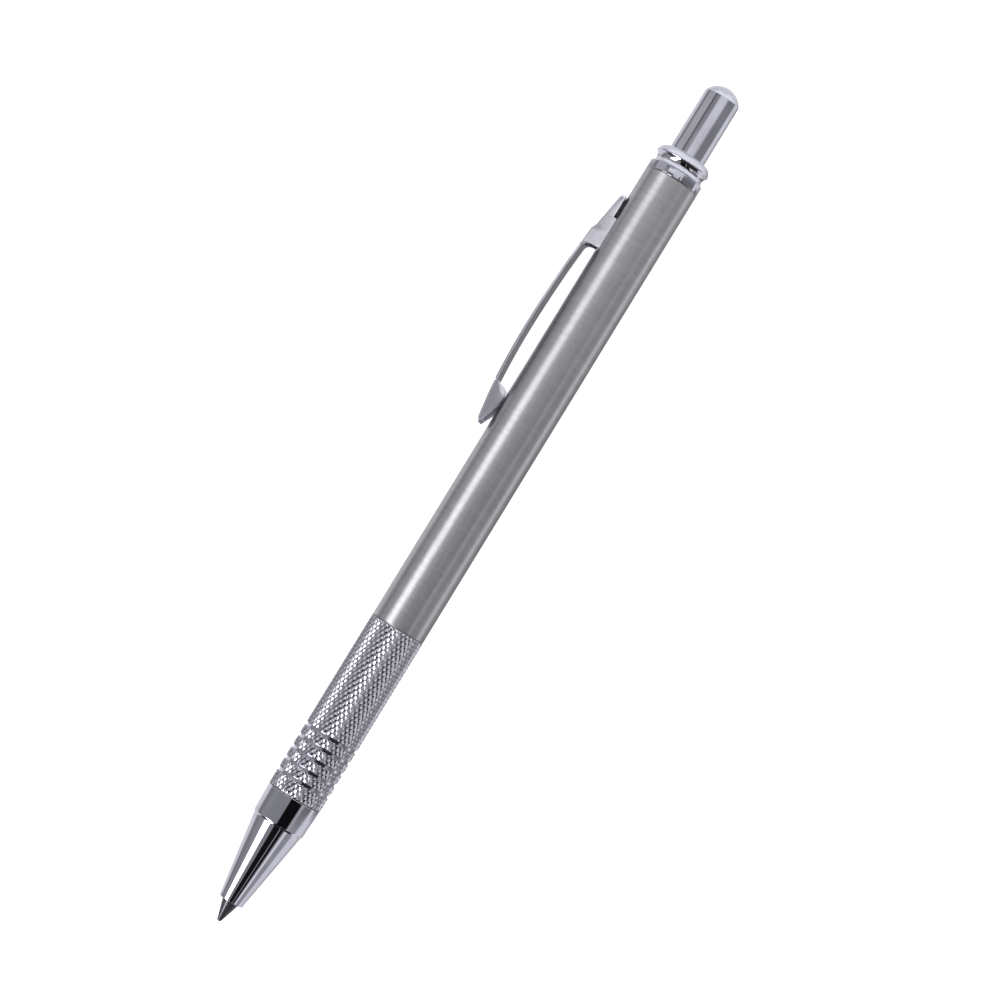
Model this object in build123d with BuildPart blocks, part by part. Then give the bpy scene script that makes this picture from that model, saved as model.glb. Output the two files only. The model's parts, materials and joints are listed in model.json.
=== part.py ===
"""Push-button lead holder for 3 mm leads, lying on its side as it rests on a table.

Millimetres. The pen's axis runs along X, point towards -X and button towards +X. The table is
z = 0, and the pen leans on the clip, which has rolled down to one side. Lengths along the pen
are stations, counted from the tip of the lead.
"""

import os
from math import asin, atan, cos, degrees, hypot, radians, sin, tan

from build123d import *

# Whole pen
PEN_LENGTH = 150.2
TUBE_R = 4.5
GRIP_R = 4.56
RUNNING = 0.05  # radial clearance of a sliding fit
SEAT = 0.02  # radial clearance of a pressed or screwed fit
THREAD_PITCH = 0.6
THREAD_DEPTH = 0.12
THREAD_HALF_WIDTH = 0.24
THREAD_RUNOUT = 1.2

# Lead
LEAD_R = 1.5
LEAD_LENGTH = 88.0
LEAD_TIP_R = 0.4
LEAD_POINT_ANGLE = 17.7

# Nozzle
MOUTH = 3.55
MOUTH_R = 2.015
CONE_END = (17.25, 4.165)
BEVEL_END = (17.55, 4.345)
NOZZLE_END = 22.25
NOZZLE_EDGE_R = 0.15
GUIDE_END = 7.5
CHAMBER_NECK = (11.8, 2.7)
CHAMBER_START = 13.6
CHAMBER_R = 3.05
RING_SEAT = 18.2
SPIGOT_R = 3.5
SPIGOT_END = 27.5
COUNTERBORE_R = 3.15

# Clutch
CLUTCH_RING_LENGTH = 2.6
CLUTCH_RING_BORE_R = 2.35
JAW_FRONT = 16.0
JAW_HEAD_R = 2.55
JAW_NECK_R = 2.15
JAW_BORE_R = LEAD_R + SEAT
JAW_RELIEF_R = 1.65
JAW_PIVOT = 25.6
JAW_COUNT = 3
JAW_SLIT = 0.5
JAW_NOSE_LENGTH = 1.2
JAW_LEAD_IN = 0.35
JAW_GRIP_END = 18.4
JAW_TEETH = 3
JAW_TOOTH_DEPTH = 0.12
JAW_ROOT_GAP = 0.04
TAPER_LENGTH = 1.5
TAPER_PLAY = 0.07
COLLET_END = 33.0

# Collet socket, spring and lead tube
SOCKET_START = 28.2
SOCKET_END = 38.2
SOCKET_R = 2.7
SOCKET_FLANGE_R = 3.4
SOCKET_FLANGE_LENGTH = 1.6
SOCKET_STEP_START = 33.2
SOCKET_STEP_END = 34.2
SOCKET_STEP_R = 1.75
WASHER_LENGTH = 0.4
SPRING_WIRE_R = 0.2
SPRING_R = 3.08
SPRING_TURNS = 7
LEAD_TUBE_R = 2.3
LEAD_TUBE_BORE_R = 2.0
LEAD_TUBE_START = 34.3
LEAD_TUBE_END = 134.0

# Grip sleeve
GRIP_START = NOZZLE_END
GRIP_END = 52.45
GRIP_BORE_R = SPIGOT_R + SEAT
GRIP_REAR_BORE_R = 3.9
GRIP_REAR_BORE_START = 45.0
GROOVE_COUNT = 5
FIRST_GROOVE = 24.85
GROOVE_PITCH = 2.0
GROOVE_TOP_WIDTH = 0.64
GROOVE_FLOOR_WIDTH = 0.4
GROOVE_DEPTH = 0.28
EDGE_CHAMFER = 0.12

# Barrel tube and its connector
TUBE_END = 133.25
TUBE_BORE_R = 3.9
CONNECTOR_START = 45.3
CONNECTOR_END = 60.0
CONNECTOR_BORE_R = 2.9

# Clip: height is the distance from the pen's axis
CLIP_WIDTH = 4.4
CLIP_SHEET = 0.45
CLIP_CROWN = 7.55
CLIP_TOP = [(86.0, 6.25), (91.1, 6.98), (97.1, 7.42), (103.6, CLIP_CROWN), (112.0, 7.31), (120.6, 6.7)]
CLIP_KNEE = [(120.6, 6.7), (121.2, 6.58), (121.3, 6.35), (121.8, 6.25)]
CLIP_TAIL = (127.2, 5.36)
CLIP_TAIL_END = 127.65
CLIP_TAIL_FOLD = 4.86
CLIP_FOOT_EDGE = [(93.05, 6.9), (92.9, 6.0), (91.9, 4.62), (90.5, 4.39), (88.5, 4.78), (86.35, 5.9)]
CLIP_ARCH = [(116.75, 6.75), (118.0, 6.5), (118.5, 6.1), (118.5, 5.1)]
TAB_START = 118.5
TAB_END = 123.7
TAB_HOOK = 0.6
TAB_HOOK_TOP = 3.1
TAB_BOTTOM = 2.6
SLOT_START = 117.9
SLOT_PLAY = 0.06
TAIL_GAP = 0.25
TAIL_CUT_MARGIN = 1.0
LOCK_SLEEVE_START = 116.9
LOCK_SLEEVE_END = 127.2
LOCK_SLEEVE_BORE_R = 3.2
LOCK_HOLE_PLAY = 0.18

# End collar
COLLAR_SPIGOT_START = 127.4
COLLAR_SHOULDER = 132.6
COLLAR_BORE_R = 3.06
COLLAR_INNER_R = 3.45
COLLAR_NECK_START = 134.65
COLLAR_NECK_END = 136.4
COLLAR_NECK_DEPTH = 0.45
BEAD_LIP = 0.05
BEAD_R = 4.515
BEAD_ROUND = 1.4
BEAD_SWEEP = 72

# Button
BUTTON_R = 3.0
CAP_EDGE = 135.5
CAP_BORE_R = 2.46
CAP_BORE_END = 147.3
DOME_START = 148.28
STEM_FLANGE_R = 3.35
STEM_FLANGE_START = 131.4
STEM_FRONT = 128.2
STEM_FRONT_R = 2.75
STEM_END = 141.5
STEM_BORE_R = 1.75
SNAP_RING_START = 138.2
SNAP_RING_WIDTH = 0.8
SNAP_RING_DEPTH = 0.3
POINTER_START = 141.9
POINTER_MOUTH_R = 1.65
POINTER_TIP_R = 0.25
POINTER_RIBS = 6
POINTER_FLUTE = 0.3

# The clip leans on the table: its lower crown edge is as high as the grip's lowest line.
crown_reach = hypot(CLIP_CROWN, CLIP_WIDTH / 2)
lean = asin(GRIP_R / crown_reach) - atan(CLIP_WIDTH / 2 / CLIP_CROWN)
clip_side = CLIP_CROWN * cos(lean) + CLIP_WIDTH / 2 * sin(lean)
AXIS_Y = (GRIP_R - clip_side) / 2
AXIS_Z = GRIP_R
TIP = Vector(-PEN_LENGTH / 2, AXIS_Y, AXIS_Z)

PEN_AXIS = Axis(TIP, (1, 0, 0))
PROFILE = Plane(TIP, x_dir=(1, 0, 0), z_dir=(0, -1, 0))
CLIP_SIDE = Plane(TIP, x_dir=(1, 0, 0), z_dir=(0, sin(lean), cos(lean)))


def cross_plane(station):
    """Plane across the pen at a station, facing the button, with its y axis up."""
    return Plane(TIP + Vector(station, 0, 0), x_dir=(0, 1, 0), z_dir=(1, 0, 0))


def outline(*points):
    """Closed outline of straight sides through (station, radius) points."""
    with BuildSketch(PROFILE) as sketch:
        with BuildLine():
            Polyline(*points, close=True)
        make_face()
    return sketch.sketch


def ring_outline(start, end, outer, inner):
    """Rectangular outline of a plain ring."""
    return outline((start, inner), (end, inner), (end, outer), (start, outer))


def thread_outlines(start, end, crest):
    """V grooves to cut round a shaft where its thread is, with its crests at that radius."""
    grooves = []
    for turn in range(int((end - start) / THREAD_PITCH)):
        middle = start + (turn + 0.5) * THREAD_PITCH
        groove = outline(
            (middle - 2 * THREAD_HALF_WIDTH, crest + THREAD_DEPTH),
            (middle + 2 * THREAD_HALF_WIDTH, crest + THREAD_DEPTH),
            (middle, crest - THREAD_DEPTH),
        )
        grooves.append(groove)
    return grooves


# Lead -------------------------------------------------------------------------------------
point_length = (LEAD_R - LEAD_TIP_R) / tan(radians(LEAD_POINT_ANGLE))
with BuildPart() as lead:
    with BuildSketch(PROFILE):
        with BuildLine():
            tip_arc = CenterArc((LEAD_TIP_R, 0), LEAD_TIP_R, 180, LEAD_POINT_ANGLE - 90)
            Polyline(
                tip_arc @ 1,
                (LEAD_TIP_R + point_length, LEAD_R),
                (LEAD_LENGTH, LEAD_R),
                (LEAD_LENGTH, 0),
                tip_arc @ 0,
            )
        make_face()
    revolve(axis=PEN_AXIS)
lead.part.label = "lead"

# Nozzle: cone, bevel and collar outside; guide bore, jaw chamber and ring seat inside --------
with BuildPart() as nozzle:
    with BuildSketch(PROFILE):
        with BuildLine():
            Polyline(
                (MOUTH, LEAD_R + RUNNING),
                (MOUTH, MOUTH_R),
                CONE_END,
                BEVEL_END,
                (NOZZLE_END - EDGE_CHAMFER, TUBE_R),
                (NOZZLE_END, TUBE_R - EDGE_CHAMFER),
                (NOZZLE_END, SPIGOT_R),
                (SPIGOT_END, SPIGOT_R),
                (SPIGOT_END, COUNTERBORE_R),
                (RING_SEAT, COUNTERBORE_R),
                (RING_SEAT, CHAMBER_R),
                (CHAMBER_START, CHAMBER_R),
                CHAMBER_NECK,
                (GUIDE_END, LEAD_R + RUNNING),
                close=True,
            )
        make_face()
    revolve(axis=PEN_AXIS)
    mouth_edges = nozzle.edges().filter_by(GeomType.CIRCLE).group_by(Axis.X)[0]
    fillet(mouth_edges.sort_by(SortBy.RADIUS)[-1], NOZZLE_EDGE_R)
    for groove in thread_outlines(NOZZLE_END + THREAD_RUNOUT, SPIGOT_END, SPIGOT_R):
        revolve(groove, axis=PEN_AXIS, mode=Mode.SUBTRACT)
nozzle.part.label = "nozzle"

# Clutch ring: brass seat whose cone squeezes the jaws ---------------------------------------
taper_rise = JAW_HEAD_R - JAW_NECK_R
cone_mouth_r = JAW_HEAD_R + TAPER_PLAY
cone_length = TAPER_LENGTH * (cone_mouth_r - CLUTCH_RING_BORE_R) / taper_rise
ring_end = RING_SEAT + CLUTCH_RING_LENGTH
with BuildPart() as clutch_ring:
    with BuildSketch(PROFILE):
        with BuildLine():
            Polyline(
                (RING_SEAT, cone_mouth_r),
                (RING_SEAT + cone_length, CLUTCH_RING_BORE_R),
                (ring_end, CLUTCH_RING_BORE_R),
                (ring_end, COUNTERBORE_R - SEAT),
                (RING_SEAT, COUNTERBORE_R - SEAT),
                close=True,
            )
        make_face()
    revolve(axis=PEN_AXIS)
clutch_ring.part.label = "clutch_ring"

# Collet jaws: three equal leaves, each a sector of one turned sleeve -------------------------
jaw_angles = [90 + turn * 360 / JAW_COUNT for turn in range(JAW_COUNT)]
half_sector = radians(180 / JAW_COUNT)
jaws = []
tooth_pitch = (JAW_GRIP_END - JAW_FRONT) / (JAW_TEETH + 1)
for number, angle in enumerate(jaw_angles, start=1):
    with BuildPart() as jaw:
        with BuildSketch(PROFILE):
            with BuildLine():
                Polyline(
                    (JAW_FRONT, JAW_BORE_R + JAW_LEAD_IN),
                    (JAW_FRONT, JAW_NECK_R),
                    (JAW_FRONT + JAW_NOSE_LENGTH, JAW_HEAD_R),
                    (RING_SEAT, JAW_HEAD_R),
                    (RING_SEAT + TAPER_LENGTH, JAW_NECK_R),
                    (JAW_PIVOT - JAW_ROOT_GAP, JAW_NECK_R),
                    (JAW_PIVOT - JAW_ROOT_GAP, JAW_RELIEF_R),
                    (JAW_GRIP_END + JAW_RELIEF_R - JAW_BORE_R, JAW_RELIEF_R),
                    (JAW_GRIP_END, JAW_BORE_R),
                    (JAW_FRONT + JAW_LEAD_IN, JAW_BORE_R),
                    close=True,
                )
            make_face()
        revolve(axis=PEN_AXIS)
        for tooth in range(JAW_TEETH):
            root = JAW_FRONT + 2 * JAW_LEAD_IN + tooth * tooth_pitch
            half = 2 * JAW_TOOTH_DEPTH
            valley = outline(
                (root - half, JAW_BORE_R - JAW_TOOTH_DEPTH),
                (root + half, JAW_BORE_R - JAW_TOOTH_DEPTH),
                (root, JAW_BORE_R + JAW_TOOTH_DEPTH),
            )
            revolve(valley, axis=PEN_AXIS, mode=Mode.SUBTRACT)
        apex = JAW_SLIT / 2 / sin(half_sector)
        reach = 2 * JAW_HEAD_R
        with BuildSketch(cross_plane(JAW_FRONT)):
            with BuildLine():
                start = Vector(apex, 0).rotate(Axis.Z, angle)
                side_a = start + Vector(reach, 0).rotate(Axis.Z, angle + degrees(half_sector))
                middle = start + Vector(2 * reach, 0).rotate(Axis.Z, angle)
                side_b = start + Vector(reach, 0).rotate(Axis.Z, angle - degrees(half_sector))
                Polyline(start, side_a, middle, side_b, close=True)
            make_face()
        extrude(amount=JAW_PIVOT - JAW_FRONT, mode=Mode.INTERSECT)
    jaw.part.label = f"collet_jaw_{number}"
    jaws.append(jaw)

# Collet body: the ring the jaws spring from, threaded into the socket ------------------------
with BuildPart() as collet_body:
    ring = ring_outline(JAW_PIVOT + JAW_ROOT_GAP, COLLET_END, JAW_NECK_R, JAW_RELIEF_R)
    revolve(ring, axis=PEN_AXIS)
    for groove in thread_outlines(SOCKET_START + THREAD_PITCH, COLLET_END, JAW_NECK_R):
        revolve(groove, axis=PEN_AXIS, mode=Mode.SUBTRACT)
collet_body.part.label = "collet_body"

# Collet socket: ferrule between collet and lead tube, with the spring's flange ---------------
with BuildPart() as collet_socket:
    with BuildSketch(PROFILE):
        with BuildLine():
            Polyline(
                (SOCKET_START, JAW_NECK_R + SEAT),
                (SOCKET_START, SOCKET_R),
                (SOCKET_END - SOCKET_FLANGE_LENGTH, SOCKET_R),
                (SOCKET_END - SOCKET_FLANGE_LENGTH, SOCKET_FLANGE_R),
                (SOCKET_END, SOCKET_FLANGE_R),
                (SOCKET_END, LEAD_TUBE_R + SEAT),
                (SOCKET_STEP_END, LEAD_TUBE_R + SEAT),
                (SOCKET_STEP_END, SOCKET_STEP_R),
                (SOCKET_STEP_START, SOCKET_STEP_R),
                (SOCKET_STEP_START, JAW_NECK_R + SEAT),
                close=True,
            )
        make_face()
    revolve(axis=PEN_AXIS)
    flange_rims = collet_socket.edges().filter_by(GeomType.CIRCLE).sort_by(SortBy.RADIUS)[-2:]
    chamfer(flange_rims, EDGE_CHAMFER)
collet_socket.part.label = "collet_socket"

# Spring washer: front seat of the return spring ----------------------------------------------
with BuildPart() as spring_washer:
    ring = ring_outline(SPIGOT_END, SPIGOT_END + WASHER_LENGTH, SPIGOT_R, SOCKET_R + 2 * RUNNING)
    revolve(ring, axis=PEN_AXIS)
spring_washer.part.label = "spring_washer"

# Return spring: round wire wound on a helix between washer and flange ------------------------
spring_start = SPIGOT_END + WASHER_LENGTH + SPRING_WIRE_R + RUNNING
spring_length = SOCKET_END - SOCKET_FLANGE_LENGTH - SPRING_WIRE_R - RUNNING - spring_start
with BuildPart() as return_spring:
    with BuildLine():
        coil_centre = TIP + Vector(spring_start, 0, 0)
        coil = Helix(spring_length / SPRING_TURNS, spring_length, SPRING_R, coil_centre, (1, 0, 0))
    with BuildSketch(Plane(coil @ 0, z_dir=coil % 0)):
        Circle(SPRING_WIRE_R)
    sweep(path=coil, is_frenet=True)
return_spring.part.label = "return_spring"

# Lead tube -----------------------------------------------------------------------------------
with BuildPart() as lead_tube:
    ring = ring_outline(LEAD_TUBE_START, LEAD_TUBE_END, LEAD_TUBE_R, LEAD_TUBE_BORE_R)
    revolve(ring, axis=PEN_AXIS)
lead_tube.part.label = "lead_tube"

# Grip sleeve: five ring grooves, then the plain land that carries the knurl -------------------
with BuildPart() as grip_sleeve:
    with BuildSketch(PROFILE):
        with BuildLine():
            Polyline(
                (GRIP_START, GRIP_BORE_R),
                (GRIP_START, GRIP_R - EDGE_CHAMFER),
                (GRIP_START + EDGE_CHAMFER, GRIP_R),
                (GRIP_END - EDGE_CHAMFER, GRIP_R),
                (GRIP_END, GRIP_R - EDGE_CHAMFER),
                (GRIP_END, GRIP_REAR_BORE_R),
                (GRIP_REAR_BORE_START, GRIP_REAR_BORE_R),
                (GRIP_REAR_BORE_START, GRIP_BORE_R),
                close=True,
            )
        make_face()
    revolve(axis=PEN_AXIS)
    for number in range(GROOVE_COUNT):
        middle = FIRST_GROOVE + number * GROOVE_PITCH
        groove = outline(
            (middle - GROOVE_TOP_WIDTH / 2, GRIP_R),
            (middle + GROOVE_TOP_WIDTH / 2, GRIP_R),
            (middle + GROOVE_FLOOR_WIDTH / 2, GRIP_R - GROOVE_DEPTH),
            (middle - GROOVE_FLOOR_WIDTH / 2, GRIP_R - GROOVE_DEPTH),
        )
        revolve(groove, axis=PEN_AXIS, mode=Mode.SUBTRACT)
grip_sleeve.part.label = "grip_sleeve"

# Grip connector: threaded bush joining grip and barrel ---------------------------------------
connector_r = TUBE_BORE_R - SEAT
with BuildPart() as grip_connector:
    revolve(ring_outline(CONNECTOR_START, CONNECTOR_END, connector_r, CONNECTOR_BORE_R), axis=PEN_AXIS)
    for groove in thread_outlines(CONNECTOR_START + THREAD_PITCH, GRIP_END - THREAD_PITCH, connector_r):
        revolve(groove, axis=PEN_AXIS, mode=Mode.SUBTRACT)
grip_connector.part.label = "grip_connector"

# Barrel tube: plain tube with two slots for the clip's tabs -----------------------------------
flange_middle = (CLIP_WIDTH - CLIP_SHEET) / 2
with BuildPart() as barrel_tube:
    revolve(ring_outline(GRIP_END, TUBE_END, TUBE_R, TUBE_BORE_R), axis=PEN_AXIS)
    rims = barrel_tube.edges().filter_by(GeomType.CIRCLE).sort_by(SortBy.RADIUS)[-2:]
    chamfer(rims, EDGE_CHAMFER / 2)
    for side in (-1, 1):
        with BuildSketch(CLIP_SIDE.offset(side * flange_middle)):
            with Locations(((SLOT_START + TAB_END + SLOT_PLAY) / 2, TUBE_R)):
                Rectangle(TAB_END + SLOT_PLAY - SLOT_START, TUBE_R)
        extrude(amount=CLIP_SHEET / 2 + SLOT_PLAY, both=True, mode=Mode.SUBTRACT)
barrel_tube.part.label = "barrel_tube"

# Clip: curved web, foot and root flanges folded down from it, tabs through the barrel's slots --
sheet_middle = CLIP_SHEET / 2


def lowered(points, depth):
    """The same (station, height) points, nearer to the pen's axis."""
    return [(station, height - depth) for station, height in points]


def web_line(depth):
    """Draw the web's side line at a depth below its top face: crown, knee and ramp."""
    Spline(*lowered(CLIP_TOP, depth))
    Bezier(*lowered(CLIP_KNEE, depth))
    return Line(*lowered([CLIP_KNEE[-1], CLIP_TAIL], depth))


with BuildPart() as clip:
    with BuildSketch(CLIP_SIDE):
        with BuildLine():
            ramp = web_line(0)
            fold_end = (CLIP_TAIL_END, CLIP_TAIL[1] - CLIP_SHEET)
            fold = TangentArc(CLIP_TAIL, fold_end, tangent=ramp % 1)
            inner_ramp = web_line(CLIP_SHEET)
            Polyline(
                fold @ 1,
                (CLIP_TAIL_END, TUBE_R),
                (CLIP_TAIL_END - CLIP_SHEET, TUBE_R),
                inner_ramp @ 1,
            )
            Line(CLIP_TOP[0], *lowered(CLIP_TOP[:1], CLIP_SHEET))
        make_face()
    extrude(amount=CLIP_WIDTH / 2, both=True)
    for side in (-1, 1):
        with BuildSketch(CLIP_SIDE.offset(side * flange_middle)):
            with BuildLine():
                foot_edge = Spline(*CLIP_FOOT_EDGE, *lowered(CLIP_TOP[:1], sheet_middle))
                Line(foot_edge @ 1, foot_edge @ 0)
            make_face()
            with BuildLine():
                arch = Bezier(*CLIP_ARCH)
                Polyline(
                    arch @ 1,
                    (TAB_START, TAB_BOTTOM),
                    (TAB_END + TAB_HOOK, TAB_BOTTOM),
                    (TAB_END + TAB_HOOK, TAB_HOOK_TOP),
                    (TAB_END, TAB_HOOK_TOP),
                    (TAB_END, TUBE_BORE_R),
                    (CLIP_TAIL_END - sheet_middle, TUBE_BORE_R),
                    (CLIP_TAIL_END - sheet_middle, CLIP_TAIL_FOLD),
                    *lowered([CLIP_TAIL, CLIP_KNEE[-1], CLIP_KNEE[0]], sheet_middle),
                    arch @ 0,
                )
            make_face()
        extrude(amount=CLIP_SHEET / 2, both=True)
    tail_clearance = ring_outline(
        TAB_END + SLOT_PLAY / 2,
        CLIP_TAIL_END + TAIL_CUT_MARGIN,
        TUBE_R + TAIL_GAP,
        TUBE_R - TAIL_CUT_MARGIN,
    )
    revolve(tail_clearance, axis=PEN_AXIS, mode=Mode.SUBTRACT)
clip.part.label = "clip"

# Clip lock sleeve: holds the hooked tabs from inside ------------------------------------------
lock_sleeve_r = TUBE_BORE_R - SEAT
hole_start = TAB_START - LOCK_HOLE_PLAY
hole_end = TAB_END + TAB_HOOK + LOCK_HOLE_PLAY
hole_bottom = TAB_BOTTOM - 2 * LOCK_HOLE_PLAY
with BuildPart() as clip_lock_sleeve:
    ring = ring_outline(LOCK_SLEEVE_START, LOCK_SLEEVE_END, lock_sleeve_r, LOCK_SLEEVE_BORE_R)
    revolve(ring, axis=PEN_AXIS)
    for side in (-1, 1):
        with BuildSketch(CLIP_SIDE.offset(side * flange_middle)):
            with Locations(((hole_start + hole_end) / 2, (hole_bottom + TUBE_R) / 2)):
                Rectangle(hole_end - hole_start, TUBE_R - hole_bottom)
        extrude(amount=CLIP_SHEET / 2 + 2 * SLOT_PLAY, both=True, mode=Mode.SUBTRACT)
clip_lock_sleeve.part.label = "clip_lock_sleeve"

# End collar: spigot in the barrel, round neck, bead rolled over at the back --------------------
bead_start = COLLAR_NECK_END + BEAD_LIP
spigot_r = TUBE_BORE_R - SEAT
with BuildPart() as end_collar:
    with BuildSketch(PROFILE):
        with BuildLine():
            Polyline(
                (COLLAR_NECK_START, TUBE_R),
                (TUBE_END + EDGE_CHAMFER, TUBE_R),
                (TUBE_END, TUBE_R - EDGE_CHAMFER),
                (TUBE_END, spigot_r),
                (COLLAR_SPIGOT_START, spigot_r),
                (COLLAR_SPIGOT_START, COLLAR_INNER_R),
                (COLLAR_SHOULDER, COLLAR_INNER_R),
                (COLLAR_SHOULDER, COLLAR_BORE_R),
            )
            ThreePointArc(
                (COLLAR_NECK_START, TUBE_R),
                ((COLLAR_NECK_START + COLLAR_NECK_END) / 2, TUBE_R - COLLAR_NECK_DEPTH),
                (COLLAR_NECK_END, TUBE_R),
            )
            Line((COLLAR_NECK_END, TUBE_R), (bead_start, BEAD_R))
            bead = CenterArc((bead_start, BEAD_R - BEAD_ROUND), BEAD_ROUND, 90, -BEAD_SWEEP)
            bead_face = (bead @ 1).X
            Polyline(
                bead @ 1,
                (bead_face, COLLAR_BORE_R + EDGE_CHAMFER),
                (bead_face - EDGE_CHAMFER, COLLAR_BORE_R),
                (COLLAR_SHOULDER, COLLAR_BORE_R),
            )
        make_face()
    revolve(axis=PEN_AXIS)
    for groove in thread_outlines(COLLAR_SPIGOT_START + THREAD_PITCH, TUBE_END - THREAD_RUNOUT, spigot_r):
        revolve(groove, axis=PEN_AXIS, mode=Mode.SUBTRACT)
end_collar.part.label = "end_collar"

# Button stem: plunger with the stop flange; the cap pushes over its back end -------------------
with BuildPart() as button_stem:
    with BuildSketch(PROFILE):
        with BuildLine():
            Polyline(
                (STEM_FRONT, LEAD_TUBE_R + SEAT),
                (STEM_FRONT, STEM_FRONT_R),
                (STEM_FLANGE_START, STEM_FRONT_R),
                (STEM_FLANGE_START, STEM_FLANGE_R),
                (COLLAR_SHOULDER - RUNNING, STEM_FLANGE_R),
                (COLLAR_SHOULDER - RUNNING, BUTTON_R),
                (CAP_EDGE - RUNNING, BUTTON_R),
                (CAP_EDGE - RUNNING, CAP_BORE_R - 2 * SEAT),
                (STEM_END, CAP_BORE_R - 2 * SEAT),
                (STEM_END, STEM_BORE_R),
                (LEAD_TUBE_END + SEAT, STEM_BORE_R),
                (LEAD_TUBE_END + SEAT, LEAD_TUBE_R + SEAT),
                close=True,
            )
        make_face()
    revolve(axis=PEN_AXIS)
    groove_floor = CAP_BORE_R - 2 * SEAT - SNAP_RING_DEPTH
    ring_groove = ring_outline(
        SNAP_RING_START - SEAT,
        SNAP_RING_START + SNAP_RING_WIDTH + SEAT,
        CAP_BORE_R,
        groove_floor,
    )
    revolve(ring_groove, axis=PEN_AXIS, mode=Mode.SUBTRACT)
button_stem.part.label = "button_stem"

# Cap snap ring: split ring in the stem's groove ------------------------------------------------
with BuildPart() as cap_snap_ring:
    with BuildSketch(cross_plane(SNAP_RING_START)):
        Circle(CAP_BORE_R - SEAT / 2)
        Circle(groove_floor + SEAT, mode=Mode.SUBTRACT)
        with Locations((0, -CAP_BORE_R)):
            Rectangle(SNAP_RING_WIDTH, CAP_BORE_R, mode=Mode.SUBTRACT)
    extrude(amount=SNAP_RING_WIDTH)
cap_snap_ring.part.label = "cap_snap_ring"

# Button cap: thimble with a domed crown ----------------------------------------------------------
with BuildPart() as button_cap:
    with BuildSketch(PROFILE):
        with BuildLine():
            Polyline(
                (DOME_START, BUTTON_R),
                (CAP_EDGE, BUTTON_R),
                (CAP_EDGE, CAP_BORE_R),
                (CAP_BORE_END, CAP_BORE_R),
                (CAP_BORE_END, 0),
                (PEN_LENGTH, 0),
            )
            dome_height = PEN_LENGTH - DOME_START
            dome_r = (dome_height**2 + BUTTON_R**2) / (2 * dome_height)
            half_turn = degrees(asin(BUTTON_R / dome_r)) / 2
            dome_middle = (
                PEN_LENGTH - dome_r + dome_r * cos(radians(half_turn)),
                dome_r * sin(radians(half_turn)),
            )
            ThreePointArc((PEN_LENGTH, 0), dome_middle, (DOME_START, BUTTON_R))
        make_face()
    revolve(axis=PEN_AXIS)
button_cap.part.label = "button_cap"

# Lead pointer: ribbed conical cutter pressed into the cap ----------------------------------------
pointer_end = CAP_BORE_END - RUNNING
cutter_depth = (POINTER_MOUTH_R - POINTER_TIP_R) / tan(radians(LEAD_POINT_ANGLE))
with BuildPart() as lead_pointer:
    with BuildSketch(PROFILE):
        with BuildLine():
            Polyline(
                (POINTER_START, POINTER_MOUTH_R),
                (POINTER_START, CAP_BORE_R - SEAT),
                (pointer_end, CAP_BORE_R - SEAT),
                (pointer_end, 0),
                (POINTER_START + cutter_depth, 0),
                (POINTER_START + cutter_depth, POINTER_TIP_R),
                close=True,
            )
        make_face()
    revolve(axis=PEN_AXIS)
    for rib in range(POINTER_RIBS):
        turn = rib * 360 / POINTER_RIBS
        with BuildSketch(PROFILE.rotated((turn, 0, 0))):
            with BuildLine():
                Polyline(
                    (POINTER_START, POINTER_MOUTH_R - POINTER_FLUTE),
                    (POINTER_START, POINTER_MOUTH_R + POINTER_FLUTE),
                    (POINTER_START + cutter_depth, POINTER_TIP_R + POINTER_FLUTE),
                    (POINTER_START + cutter_depth, POINTER_TIP_R / 2),
                    close=True,
                )
            make_face()
        extrude(amount=POINTER_FLUTE / 2, both=True, mode=Mode.SUBTRACT)
lead_pointer.part.label = "lead_pointer"

# Export: one STEP file for each piece --------------------------------------------------------------
os.makedirs("parts", exist_ok=True)
pieces = [
    lead,
    nozzle,
    clutch_ring,
    *jaws,
    collet_body,
    collet_socket,
    spring_washer,
    return_spring,
    lead_tube,
    grip_sleeve,
    grip_connector,
    barrel_tube,
    clip,
    clip_lock_sleeve,
    end_collar,
    button_stem,
    cap_snap_ring,
    button_cap,
    lead_pointer,
]
for piece in pieces:
    export_step(piece.part, f"parts/{piece.part.label}.step")
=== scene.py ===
import json
from math import cos, pi, radians, sin, sqrt, tan

import bmesh
import bpy
import numpy as np
from mathutils import Matrix, Vector


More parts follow.
